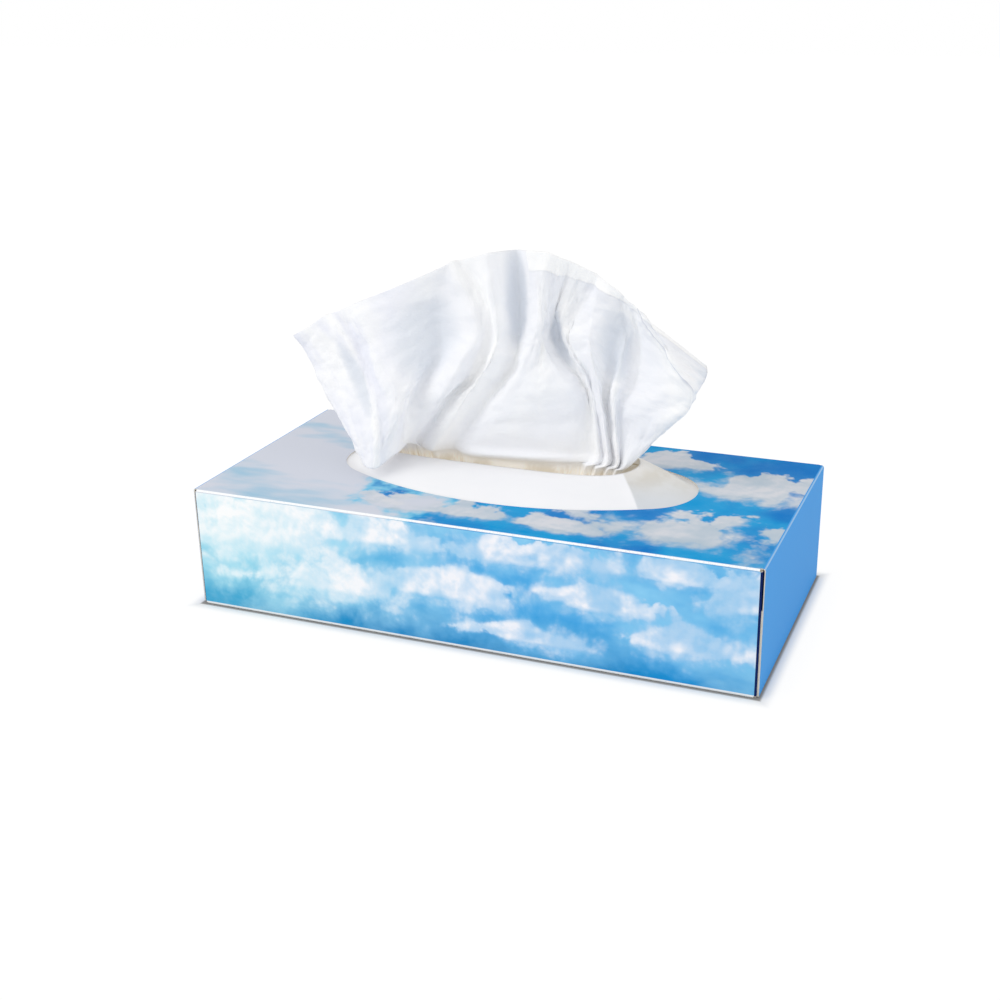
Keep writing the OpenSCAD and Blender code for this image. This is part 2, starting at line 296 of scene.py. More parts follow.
# %% The colours of the sky and of the clouds
# On the front and back, a pair is the colour at the left end of the panel and at its right end.
# On the top, a pair holds the two colours that noise or the light on a cloud mixes.
PALE_SKY = srgb(190, 238, 248), srgb(150, 214, 248)
DEEP_SKY = srgb(84, 190, 222), srgb(44, 158, 226)
BRIGHT_CLOUD = srgb(254, 255, 255), srgb(249, 249, 254)
SHADED_CLOUD = srgb(178, 230, 245), srgb(116, 192, 238)
LOW_SKY = srgb(0, 132, 196)
TOP_SKY = srgb(0, 152, 214), srgb(0, 118, 198)
TOP_VEIL = srgb(120, 196, 228)
# The top's cloud and haze greys are partly the print and partly painted shade for the dimmer light on
# the top.
GREYED_TOP_CLOUD = srgb(176, 194, 208), srgb(215, 217, 223)
GREYED_TOP_HAZE = srgb(209, 213, 224), srgb(158, 196, 219)


def front_print(x, z, flat, cloud, lit, veil):
    """Front and back: pale and overexposed at the left, deeper to the right and low down."""
    right = x.step(-0.48 * LENGTH, 0.12 * LENGTH)
    drawn_out = flat.vector("MULTIPLY", in1=(0.55, 1.0, 1.0))
    patches = drawn_out.noise(0.035, 4, 0.55).step(0.38, 0.6)
    sky = patches.mix(right.mix(*PALE_SKY), right.mix(*DEEP_SKY))
    middle = (x - 4) / 80
    low_band = (1 - z.step(3.0, 22.0)) * (1 - (middle * middle).at_most(1.0) * 0.6)
    sky = (low_band * (0.75 + 0.25 * patches)).mix(sky, LOW_SKY)
    shaded = right.mix(*SHADED_CLOUD)
    sky = (veil * 0.55).mix(sky, shaded)
    return cloud.mix(sky, lit.mix(shaded, right.mix(*BRIGHT_CLOUD)))


def top_print(x, flat, cloud, lit, veil):
    """Top: a smooth lilac-grey haze at the left, clouds on strong blue at the right. Their greys are
    partly print and partly painted shade.
    """
    hazy = 1 - (x + (flat.noise(0.03, 4, 0.6) - 0.5) * 170).step(-52.0, -8.0)
    streaks = flat.vector("MULTIPLY", in1=(0.35, 1.0, 1.0)).noise(0.045, 3, 0.55).step(0.5, 0.72)
    blue = flat.noise(0.03, 2, 0.5).step(0.4, 0.6).mix(*TOP_SKY)
    blue = hazy.step(0.0, 0.5).at_least(veil * 0.15).mix(blue, TOP_VEIL)
    clouds = cloud.mix(blue, lit.mix(*GREYED_TOP_CLOUD))
    return hazy.step(0.35, 1.0).mix(clouds, streaks.mix(*GREYED_TOP_HAZE))


print("deep sky, left and right:", [[round(c, 2) for c in colour[:3]] for colour in DEEP_SKY])


# %% How much cloud there is, and how it is lit
def cloud_masks(x, round_it, on_top):
    """The blank's coordinates with some drift, and the masks of cloud, light and veil on them."""
    flat = x.add("ShaderNodeCombineXYZ", X=x, Y=round_it)
    drift = flat.noise(0.03, 2, 0.5, out=1).vector("SCALE", Scale=WARP_MM)
    flat = flat.vector("ADD", in1=drift)
    higher = flat.vector("ADD", in1=(-0.5 * PUFF_MM, PUFF_MM, 0.0))
    billows, billows_higher = broken_edges(flat), broken_edges(higher)
    ovals = cloud_ovals(x, round_it)
    ovals_higher = cloud_ovals(x, round_it + 2 * PUFF_MM)
    left = 1 - x.step(-100.0, -15.0)
    field = ovals * 1.3 + 1.6 - 0.1 * on_top + billows + left * (1 - on_top) * 0.3
    upper_side = (ovals - ovals_higher).step(-0.25, 0.3)
    cloud = field.step(0.0, 1.5 - 1.15 * upper_side * flat.noise(0.04, 1, 0.5).step(0.36, 0.5))
    lit = (billows - billows_higher).step(-0.7, 0.7) * 0.45
    lit = lit + upper_side * 0.45 + field.step(0.1, 1.6) * 0.2
    bodies = flat.noise(0.045, 3, 0.55).step(0.38, 0.58)
    lit = lit * (0.35 + 0.65 * bodies.at_least(left * 0.9))
    veil = field.step(-1.3, 0.6)
    return flat, cloud, lit, veil


print("drift of the clouds in mm:", WARP_MM, "and a puff:", PUFF_MM)

# %% The carton's material
BARE_BOARD, FLAP_INK_AND_SHADE = (srgb(214, 206, 190), srgb(238, 234, 224)), srgb(16, 38, 92)
CREASE_WHITE, FOOT_WHITE = srgb(253, 254, 255), srgb(250, 252, 253)
FOOT_FROM, FOOT_TO = 1.2, 1.5
END_BLUE, END_CREASE = srgb(70, 156, 226), srgb(196, 224, 246)


def carton_material():
    material, shader, place = new_material("printed_board", Roughness=0.5, Specular_IOR_Level=0.03)
    x, y, z = place.parts()
    tube, ends, flaps, creases, end_creases = board_masks(x, y, z)
    on_top = z.over(HEIGHT - CREASE_R)
    on_back = y.over(DEPTH / 2 - CREASE_R)
    round_it = z + on_top * (HEIGHT + DEPTH / 2 + y - z) + on_back * (1 - on_top) * (HEIGHT + DEPTH)
    flat, cloud, lit, veil = cloud_masks(x, round_it, on_top)
    ink = on_top.mix(front_print(x, z, flat, cloud, lit, veil), top_print(x, flat, cloud, lit, veil))
    fibres = place.noise(0.9, 4, 0.6)
    # The dust flaps' skin is dark navy: partly ink, partly painted shade in the narrow gap.
    board = flaps.mix(fibres.mix(*BARE_BOARD), FLAP_INK_AND_SHADE)
    # Along the creases the colour is painted near-white in broken patches, and paler blue at the ends'
    # top creases.
    crease_patches = place.noise(1.6, 3, 0.6).step(0.22, 0.5)
    printed = (creases * (0.6 + 0.4 * crease_patches)).mix(ink, CREASE_WHITE)
    printed = z.step(FOOT_FROM, FOOT_TO).mix(FOOT_WHITE, printed)
    end = (end_creases * 0.55).mix(END_BLUE, END_CREASE)
    feed(shader, "Base Color", ends.mix(tube.mix(board, printed), end))
    feed(shader, "Roughness", 0.62 - 0.16 * tube.at_least(ends) + 0.05 * fibres)
    feed_bump(shader, fibres + 0.4 * place.noise(0.08, 2), 0.12, 0.0002)
    return material


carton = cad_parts["carton"]
carton.data.materials.clear()
carton.data.materials.append(carton_material())
print("nodes in the carton's material:", len(carton.data.materials[0].node_tree.nodes))

# %% [markdown]
# ## Sheets from rows of points
# The film, the pulled sheet and each sheet of the stack are thin skins. Each is worked out as a
# grid of points with a formula, made into a mesh of quads, and given its thickness by a Solidify
# modifier. Where it matters the mesh keeps a UV map of the flat sheet in millimetres, so that
# the grain of the paper follows the sheet wherever it is folded.

# %% A mesh from a grid of points
def grid_mesh(name, points, closed=False, flat=None):
    """points[i][j] in millimetres. closed joins the last column to the first. flat is for UVs."""
    count, rows = points.shape[:2]
    nexts = np.arange(count if closed else count - 1)
    i, j = np.meshgrid(nexts, np.arange(rows - 1), indexing="ij")
    k = (i + 1) % count
    faces = np.stack([i * rows + j, k * rows + j, k * rows + j + 1, i * rows + j + 1], -1)
    mesh = bpy.data.meshes.new(name)
    mesh.from_pydata((points.reshape(-1, 3) * MM).tolist(), [], faces.reshape(-1, 4).tolist())
    if flat is not None:
        layer = mesh.uv_layers.new(name="flat_sheet")
        layer.data.foreach_set("uv", flat.reshape(-1, 2)[faces.reshape(-1)].astype("f").ravel())
    mesh.shade_smooth()
    return mesh


def add_piece(name, mesh, material):
    piece = bpy.data.objects.new(name, mesh)
    bpy.context.scene.collection.objects.link(piece)
    mesh.materials.append(material)
    return piece


def thicken(piece, thickness):
    skin = piece.modifiers.new("thickness", "SOLIDIFY")
    skin.thickness, skin.offset = thickness * MM, 0


def stand_for(piece, node):
    """The piece rides on the one body and takes the place of a CAD node."""
    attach(piece, "root")
    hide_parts(node)


print("nodes that get a finer piece:", sorted(set(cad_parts) - {"carton"}))


# %% Steps between numbers and points
def lerp(a, b, f):
    return a + (b - a) * f


def smooth(f):
    return f * f * (3 - 2 * f)


def three(x, y, z):
    """Points from three arrays, or numbers, of coordinates."""
    return np.stack(np.broadcast_arrays(x, y, z), -1).astype(float)


print("a smooth step:", [round(smooth(f), 2) for f in (0, 0.25, 0.5, 0.75, 1)])


# %% Run a node group and keep its result
def new_group(name, kinds):
    """A Geometry Nodes tree and its inputs as a dictionary of sockets."""
    tree = bpy.data.node_groups.new(name, "GeometryNodeTree")
    tree.interface.new_socket("Geometry", in_out="OUTPUT", socket_type="NodeSocketGeometry")
    for label, kind in kinds:
        tree.interface.new_socket(label, in_out="INPUT", socket_type="NodeSocket" + kind)
    given = tree.nodes.new("NodeGroupInput")
    return tree, {label: Socket(tree, given.outputs[label]) for label, kind in kinds}


def end_group(tree, geometry, material):
    """Instances become real and get their material, because the export drops instances."""
    geometry = geometry.add("GeometryNodeRealizeInstances", Geometry=geometry)
    geometry = geometry.add("GeometryNodeSetMaterial", Geometry=geometry, Material=material)
    leave = tree.nodes.new("NodeGroupOutput")
    tree.links.new(geometry.output, leave.inputs["Geometry"])


def run_group(piece, tree, **values):
    """Run a node group after the piece's other modifiers, and keep the result as a plain mesh."""
    modifier = piece.modifiers.new(tree.name, "NODES")
    modifier.node_group = tree
    for item in tree.interface.items_tree:
        if item.name in values:
            modifier[item.identifier] = values[item.name]
    evaluated = piece.evaluated_get(bpy.context.evaluated_depsgraph_get())
    mesh = bpy.data.meshes.new_from_object(evaluated)
    piece.modifiers.clear()
    piece.data = mesh


print("node groups so far:", len(bpy.data.node_groups))

# %% [markdown]
# ## The slit film
# The window is a thin milky film, glued under the top panel round the cut-out. Its slit has two
# lips. The front lip is pushed up a little, and the sheet has pulled the back lip higher at the
# right end. Loops of points run from the lips to the rim of the cut-out, then to the glued edge.
# Right of the slit a low ridge runs to the rim. Behind it the film slopes up to the raised lip,
# and a warm painted shade lies on it there.

# %% Sizes of the cut-out and the film, as in the CAD source
CUT_L, CUT_W, CUT_BACK = 150.0, 71.0, 5.0
FILM_T, FILM_BAND = 0.2, 11.0
SLIT_L, SLIT_LEFT, LIP_LEAN = 110.0, 8.5, 6.0
SLIT_GAP, GATHER, LIP_CLEAR = 6.0, 2.0, 3.0
FRONT_LIP, BACK_LIP = 1.8, 12.0
RIM_INSET, BULGE = 1.5, 1.5
TOP = np.array([0.0, CUT_BACK, HEIGHT])
THROAT_Y = SLIT_GAP + GATHER
FILM_Z = -BOARD_T - FILM_T / 2
CREASE_FROM, CREASE_TO = np.array([44.0, 3.0]), np.array([57.0, -20.0])
CREASE_RISE, CREASE_WIDTH = 1.1, 2.0
print("cut-out, film and slit in mm:", (CUT_L, CUT_W), (CUT_L + 2 * FILM_BAND, CUT_W + 2 * FILM_BAND),
      SLIT_L)


# %% Loops of the film
def film_lip(a):
    h, right = smooth((np.sin(a) + 1) / 2), (1 + np.cos(a)) / 2
    return three(np.cos(a) * SLIT_L / 2 - SLIT_LEFT + LIP_LEAN * h * right,
                 h * (THROAT_Y + GATHER + LIP_CLEAR),
                 lerp(FRONT_LIP, BACK_LIP * lerp(0.1, 1, right), h))


def film_rim(a):
    return three(np.cos(a) * (CUT_L / 2 - RIM_INSET), np.sin(a) * (CUT_W / 2 - RIM_INSET), FILM_Z)


def film_edge(a):
    x, y = (np.sign(c) * np.abs(c) ** 0.35 for c in (np.cos(a), np.sin(a)))
    return three(x * (CUT_L / 2 + FILM_BAND), y * (CUT_W / 2 + FILM_BAND), FILM_Z)


def film_crease(points):
    """Height of the ridge at each point, on the line from the slit's end to the rim."""
    along = CREASE_TO - CREASE_FROM
    reach = np.clip((points[..., :2] - CREASE_FROM) @ along / (along @ along), 0, 1)
    gap = np.linalg.norm(points[..., :2] - CREASE_FROM - reach[..., None] * along, axis=-1)
    return CREASE_RISE * np.exp(-gap / CREASE_WIDTH) * 4 * reach * (1 - reach)


def film_points(steps=240, rows=28, band_rows=3):
    a = np.linspace(0, 2 * np.pi, steps, endpoint=False)[:, None]
    f = np.linspace(0, 1, rows)[None, :]
    slope = lerp(film_lip(a), film_rim(a), f[..., None])
    slope[..., 2] += BULGE * 4 * f * (1 - f) * np.sin(a) ** 2 + film_crease(slope)
    g = np.linspace(0, 1, band_rows + 1)[None, 1:]
    band = lerp(film_rim(a), film_edge(a), g[..., None])
    return np.concatenate([slope, band], 1) + TOP


film_grid = film_points()
print("points of the film:", film_grid.shape[:2])

# %% [markdown]
# Milky film lets a little light through. Nothing shows sharply behind it, so some transparency in
# one ordinary shader is enough. The tint is worked out from the place on the window: milk white
# at the front, a cooler and a warmer painted shade beyond the ridge and close behind the slit,
# and a painted shadow in soft grey along the rim.

# %% The film's material
FILM_MILK = srgb(248, 248, 251), srgb(254, 254, 255)
FILM_WARM_SHADE, FILM_COOL_SHADE = (srgb(222, 216, 204), srgb(235, 232, 226)), srgb(222, 226, 231)
RIM_SHADOW = srgb(224, 223, 226)


def film_material():
    material, shader, place = new_material("milky_film", Roughness=0.3, Specular_IOR_Level=0.3)
    x, y, _ = place.vector("SUBTRACT", in1=tuple(TOP)).parts()
    along = CREASE_TO - CREASE_FROM
    side = ((y - CREASE_FROM[1]) * float(along[0]) - (x - CREASE_FROM[0]) * float(along[1]))
    right = (side / float(np.linalg.norm(along))).step(-0.4, 0.6)
    back = y.step(1.0, 6.0)
    right = (right * (1 - back) + x.step(34.0, 60.0) * back) * (1 - y.step(12.0, 30.0))
    behind = y.step(7.0, 11.0) * (1 - y.step(15.0, 24.0))
    cloudy = place.noise(0.05, 3, 0.5)
    # Painted shade: warm and cool tints beyond the ridge and behind the slit.
    warm = place.noise(0.09, 3, 0.55).step(0.35, 0.65).mix(*FILM_WARM_SHADE)
    a, b = x / (CUT_L / 2), y / (CUT_W / 2)
    shade = (b - a).step(-1.3, -0.4).mix(FILM_COOL_SHADE, warm)
    milk = right.at_least(behind).mix(cloudy.mix(*FILM_MILK), shade)
    # A painted shadow along the rim.
    milk = ((a * a + b * b).step(0.84, 1.0) * 0.5).mix(milk, RIM_SHADOW)
    feed(shader, "Base Color", milk)
    feed(shader, "Alpha", 0.96 - 0.06 * right + 0.02 * cloudy)
    feed_bump(shader, place.noise(0.1, 2, 0.5), 0.25, 0.0006)
    return material


milky = film_material()
print("nodes in the film's material:", len(milky.node_tree.nodes))

# %% Make the film
film = add_piece("film", grid_mesh("film", film_grid, closed=True), milky)
thicken(film, FILM_T)
stand_for(film, "slit_film")
print("film quads:", len(film.data.polygons))

# %% [markdown]
# ## The pulled sheet
# A tissue that is pulled through a slit is gathered at its foot and fans out above it. Each fold
# line is a smooth curve from the foot to the free edge, and smooth curves join one fold line to
# the next. The places of the fold lines were chosen from the photograph, so the broad folds are
# where it shows them. The same numbers are in the CAD source.

# %% The fold lines, from left to right
# Each fold line has five places from the free edge to the foot, as (across, back, up) in
# millimetres from the middle of the cut-out: where it is seen on an upright plane there, and how
# far behind that plane it lies on the same line of sight. Its last pair is its place along the
# slit in percent of half its length, and its side of the gathers there, from -1 to 1.
FOLDS = [
    ((-100, 3, 49), (-91, 0, 35), (-83, -6, 20), (-75, -16, 5), (-70, -24, -5), (-88, -0.2)),
    ((-93, 1, 53), (-83, -2, 38), (-76, -9, 22), (-71, -18, 6), (-68, -26, -6), (-86, -0.2)),
    ((-84, -1, 59), (-73, -5, 42), (-67, -13, 26), (-64, -20, 11), (-65, -26, -6), (-83, -0.1)),
    ((-78, -1, 61), (-68, -5, 45), (-62, -12, 29), (-60, -19, 12), (-62, -23, -4), (-80, 0)),
    ((-72, -2, 64), (-63, -8, 48), (-56, -13, 33), (-53, -17, 20), (-58, -19, 0), (-77, 0.1)),
    ((-53, 1, 72), (-46, 0, 56), (-44, -4, 40), (-47, -10, 25), (-54, -14, 3), (-74, 0.3)),
    ((-31, 3, 82), (-33, 7, 62), (-34, 4, 44), (-46, -3, 25), (-51, -7, 8), (-71, 0.6)),
    ((-26, 4, 85), (-17, 2, 60), (-25, -3, 41), (-35, -3, 25), (-45, 1, 10), (-67, -0.6)),
    ((-21, 5, 86), (-10, 6, 63), (-16, 4, 42), (-29, 3, 28), (-42, 5, 8), (-62, 1)),
    ((-11, -1, 89), (-7, 2, 60), (-11, -2, 46), (-22, -2, 29), (-37, 1, 7), (-54, -1)),
    ((1, 8, 91), (2, 11, 62), (-1, 8, 46), (-14, 6, 27), (-27, 6, 9), (-39, 1)),
    ((7, 4, 91), (9, 3, 62), (5, 2, 49), (-7, 1, 27), (-20, 4, 7), (-24, -1)),
    ((14, 2, 91), (11, 4, 64), (10, 3, 46), (9, 3, 30), (9, 7, 8), (21, 0)),
    ((19, 3, 89), (13, 7, 64), (14, 5, 51), (24, 4, 34), (24, 9, 10), (48, 0.6)),
    ((23, 4, 88), (17, 12, 66), (20, 12, 52), (30, 10, 36), (32, 11, 12), (58, 1)),
    ((28, 5, 86), (20, 8, 67), (22, 7, 55), (31, 7, 39), (35, 9, 12), (63, -0.6)),
    ((33, 5, 84), (26, 10, 68), (24, 8, 55), (32, 7, 40), (37, 11, 12), (67, 0.6)),
    ((36, 5, 82), (32, 4, 67), (31, 2, 55), (35, 3, 39), (39, 7, 11), (71, -0.8)),
    ((42, 4, 78), (41, 7, 65), (40, 8, 46), (38, 8, 32), (41, 11, 11), (75, 1)),
    ((45, 4, 75), (46, 8, 64), (43, 5, 46), (41, 3, 33), (43, 6, 10), (79, -0.8)),
    ((49, 3, 72), (50, 10, 63), (50, 9, 44), (45, 6, 32), (44, 9, 10), (82, 0.6)),
    ((52, 2, 70), (58, 3, 58), (61, 1, 42), (55, 1, 28), (46, 5, 9), (85, -0.6)),
    ((55, 2, 67), (65, 1, 52), (71, 1, 38), (62, 0, 26), (48, 6, 9), (87, 0)),
    ((77, 10, 52), (77, 10, 46), (72, 8, 37), (63, 6, 26), (49, 8, 10), (89, 0.6)),
]
SHEET_SIDE, SHEET_T, FAN_H = 210.0, 0.3, 92.0
HEAD_ROOM, TAIL_CLEAR, TURN_R, TAIL_INSET, TAIL_BEND = 9.1, 0.3, 0.7, 3.0, 3.0
FOLD_BEND, FOLD_SOFTNESS, RISE_BEND = 0.3, 0.6, 0.5
THROAT_DROP, THROAT_RISE, LIP_SHARE, LIP_RISE, LIP_REACH = 1.5, 2.0, 0.3, 3.5, 15.0
ROLL_FROM, ROLL_TO, ROLL_FADE, ROLL_OUT, ROLL_Z, ROLL_SPREAD = -28.0, 40.0, 10.0, 2.2, 5.2, 1.9
EYE = np.array(CAMERA_PLACE) / MM - TOP
TAIL_LOW = -BOARD_T - HEAD_ROOM + TAIL_CLEAR + SHEET_T / 2
TAIL_HIGH = TAIL_LOW + 2 * TURN_R
TAIL_FAR = SHEET_SIDE / 4 - TAIL_INSET - CUT_BACK
TAIL_END = TAIL_FAR - (SHEET_SIDE - FAN_H + TAIL_HIGH - (TAIL_FAR - THROAT_Y))
print("fold lines:", len(FOLDS), "on a sheet of", SHEET_SIDE, "mm")


# %% Places of the folds and of the gathers
def fold_places():
    """An array of fold, place and coordinate. Each seen place goes back along its line of sight."""
    seen = np.array([fold[:5] for fold in FOLDS], float)
    back = seen[..., 1:2].copy()
    seen[..., 1] = 0
    return seen + (seen - EYE) * back / -EYE[1]


def slit_places():
    pairs = np.array([fold[5] for fold in FOLDS], float)
    return three(pairs[:, 0] / 100 * SLIT_L / 2 - SLIT_LEFT, THROAT_Y + pairs[:, 1] * GATHER, 0)


def smooth_between(places, steps, bend, softness):
    """More points between places along the first axis, on curves that pass through them."""
    last = len(places) - 1
    t = np.linspace(0, last, last * steps + 1)
    k = np.minimum(t.astype(int), last - 1)
    f = (t - k).reshape(-1, *[1] * (places.ndim - 1))
    a, b, c, d = (places[np.clip(k + n, 0, last)] for n in (-1, 0, 1, 2))
    curve = bend * f * (1 - f) * ((c - a) * (1 - f) - (d - b) * f)
    return lerp(b, c, lerp(f, smooth(f), softness)) + curve


print("highest fold line in mm above the carton:", round(fold_places()[..., 2].max(), 1))

# %% Rows of the tail
# How far along from the slit to the turn a row lies, and how wide the sheet has spread there.
TAIL_SPREADS = ((0.9, 0.96), (0.75, 0.85), (0.58, 0.68), (0.4, 0.5), (0.3, 0.36))
BEND_SPREAD = 0.12


def tail_rows(turn_steps=8):
    """Rows of the tail on the stack: y, z, spread across the stack, share of the gathers left."""
    rows = [(lerp(TAIL_END, TAIL_FAR, f), TAIL_LOW, 1, 0) for f in np.linspace(0, 0.95, 12)]
    for a in np.radians(np.linspace(-90, 90, turn_steps + 1)):
        rows.append((TAIL_FAR + TURN_R * math.cos(a), TAIL_LOW + TURN_R * (1 + math.sin(a)), 1, 0))
    for f, spread in TAIL_SPREADS:
        rows.append((lerp(THROAT_Y, TAIL_FAR, f), TAIL_HIGH, spread, 0))
    for a in np.radians(np.linspace(-90, 0, 7)):
        rows.append((THROAT_Y + TAIL_BEND * (1 - math.cos(a)), TAIL_HIGH + TAIL_BEND * (1 + math.sin(a)),
                     BEND_SPREAD * (1 - math.cos(a)), smooth(1 + a / math.radians(90))))
    return rows


print("rows of the tail:", len(tail_rows()))


# %% All the points of the sheet
def sheet_points(steps=11, row_steps=20):
    """The grid of the sheet, from its tail to its free edge, and the number of the foot's row."""
    folds = smooth_between(fold_places(), steps, FOLD_BEND, FOLD_SOFTNESS)
    slit = smooth_between(slit_places(), steps, FOLD_BEND, 1.0)
    foot = folds[:, 4]
    q = np.linspace(-0.5, 0.5, len(folds))
    rows = [three(lerp(slit[:, 0], q * SHEET_SIDE, spread), y + (slit[:, 1] - THROAT_Y) * share, z)
            for y, z, spread, share in tail_rows()]
    hang = smooth(np.clip(-foot[:, 1] / LIP_REACH, 0, 1))
    low = slit - [0, 0, THROAT_DROP]
    lip = lerp(slit + [0, 0, THROAT_RISE], foot, LIP_SHARE)
    lip[:, 2] += LIP_RISE * hang
    neck = smooth_between(np.stack([low, lip, foot, folds[:, 3]]), 6, RISE_BEND, 1.0)[:12]
    fan = smooth_between(folds[:, ::-1].swapaxes(0, 1), row_steps, RISE_BEND, 1.0)
    upper = np.concatenate([neck.swapaxes(0, 1), fan.swapaxes(0, 1)], 1)
    x, y, z = (upper[..., i] for i in range(3))
    ends = (x - ROLL_FROM, ROLL_TO - x)
    held = math.prod(smooth(np.clip(end / ROLL_FADE, 0, 1)) for end in ends)
    y -= ROLL_OUT * held * np.exp(-((z - ROLL_Z) / ROLL_SPREAD) ** 2)
    return np.concatenate([np.stack(rows, 1), upper], 1) + TOP, len(rows) + len(neck)


def flat_places(grid):
    """The place of each point on the flat sheet: across it, and along it from its tail."""
    step = np.linalg.norm(np.diff(grid, axis=1), axis=-1).mean(0)
    along = np.concatenate([[0], np.cumsum(step)])
    across = np.linspace(-0.5, 0.5, len(grid)) * SHEET_SIDE
    return np.stack(np.broadcast_arrays(across[:, None], along[None, :]), -1)


grid, foot_row = sheet_points()
flat = flat_places(grid)
print("points of the sheet:", grid.shape[:2], "and its foot's row:", foot_row)

# %% [markdown]
# Soft paper that has been gathered keeps small crumples. They follow a rule, so Geometry Nodes
# make them: noise in the coordinates of the flat sheet, drawn out along the folds, moves each
# point along its normal. An attribute named `loose` lets it fade out where the sheet is held, and
# makes it weaker at the free edge, which the embossed hem keeps smooth.

# %% A node group that crumples a sheet
def crumple_group():
    tree, given = new_group("crumple", (
        ("Geometry", "Geometry"), ("Wave", "Float"), ("Depth", "Float"), ("Stretch", "Float"),
        ("Seed", "Int"), ("Material", "Material")))
    sheet = given["Geometry"]
    flat = sheet.add("GeometryNodeInputNamedAttribute", {"data_type": "FLOAT_VECTOR"}, Name="flat_sheet")
    loose = sheet.add("GeometryNodeInputNamedAttribute", {"data_type": "FLOAT"}, Name="loose")
    u, v, _ = flat.parts()
    seed = given["Seed"] * 7.3
    drawn_out = flat.add("ShaderNodeCombineXYZ", X=u, Y=v / given["Stretch"], Z=seed)
    wave = given["Wave"].at_least(1.0)
    bend = drawn_out.noise(0.6 / wave, 2, 0.5, out=1).vector("SCALE", Scale=12.0)
    cells = drawn_out.vector("ADD", in1=bend)
    facets = cells.add("ShaderNodeTexVoronoi", Vector=cells, Scale=1 / wave, Randomness=1.0)
    crumples = flat.add("ShaderNodeCombineXYZ", X=u, Y=v, Z=seed + 3.1)
    crumples = crumples.noise(2.2 / wave, 3, 0.55)
    height = (0.45 - facets) * 1.6 + (crumples - 0.5) * 1.5
    push = (height * given["Depth"] * loose) * MM
    normal = push.add("GeometryNodeInputNormal")
    offset = normal.vector("SCALE", Scale=push)
    sheet = sheet.add("GeometryNodeSetPosition", Geometry=sheet, Offset=offset)
    end_group(tree, sheet, given["Material"])
    return tree


crumple = crumple_group()
print("nodes in the crumple group:", len(crumple.nodes))

# %% [markdown]
# Tissue is matt. The material mixes soft patches in the coordinates of the flat sheet, so they
# stay on it wherever it is folded: random tone, and painted shade in grey patches and in a lilac
# tint at the left. A brighter band is a painted highlight on a narrow folded-over edge along the
# free edge, with painted shade just below it, and a thin painted shade line runs along a fold near
# the right corner. A bump of crepe lines, creases and crinkles gives the feel of soft paper. Down
# in the slit the paper is painted a warm, darker shade, and a weak emission is painted light for
# the light that comes through the thin sheets there.

# %% The sheet's material
# Middle and half sizes of soft patches of painted shade on the flat sheet: across, below its free edge.
SHADE_PATCHES = [(-55, 27, 12, 22), (64, 28, 13, 17), (-14, 14, 6, 20), (24, 30, 6, 18), (-88, 30, 5, 20)]
HEM, HEM_FROM = 5.5, -8.0
FLAP_FOLD = np.array([80.0, 0.0]), np.array([105.0, 46.0])
PAPER_WHITE = srgb(246, 247, 251), srgb(255, 255, 255)
SLIT_SHADE = srgb(214, 205, 188), srgb(242, 238, 230)
LILAC_SHADE, PATCH_SHADE, FOLD_SHADE = srgb(236, 238, 248), srgb(224, 229, 237), srgb(216, 219, 228)
HEM_HIGHLIGHT, UNDER_HEM_SHADE = srgb(255, 255, 255), srgb(234, 236, 243)
BLACK = (0.0, 0.0, 0.0, 1.0)


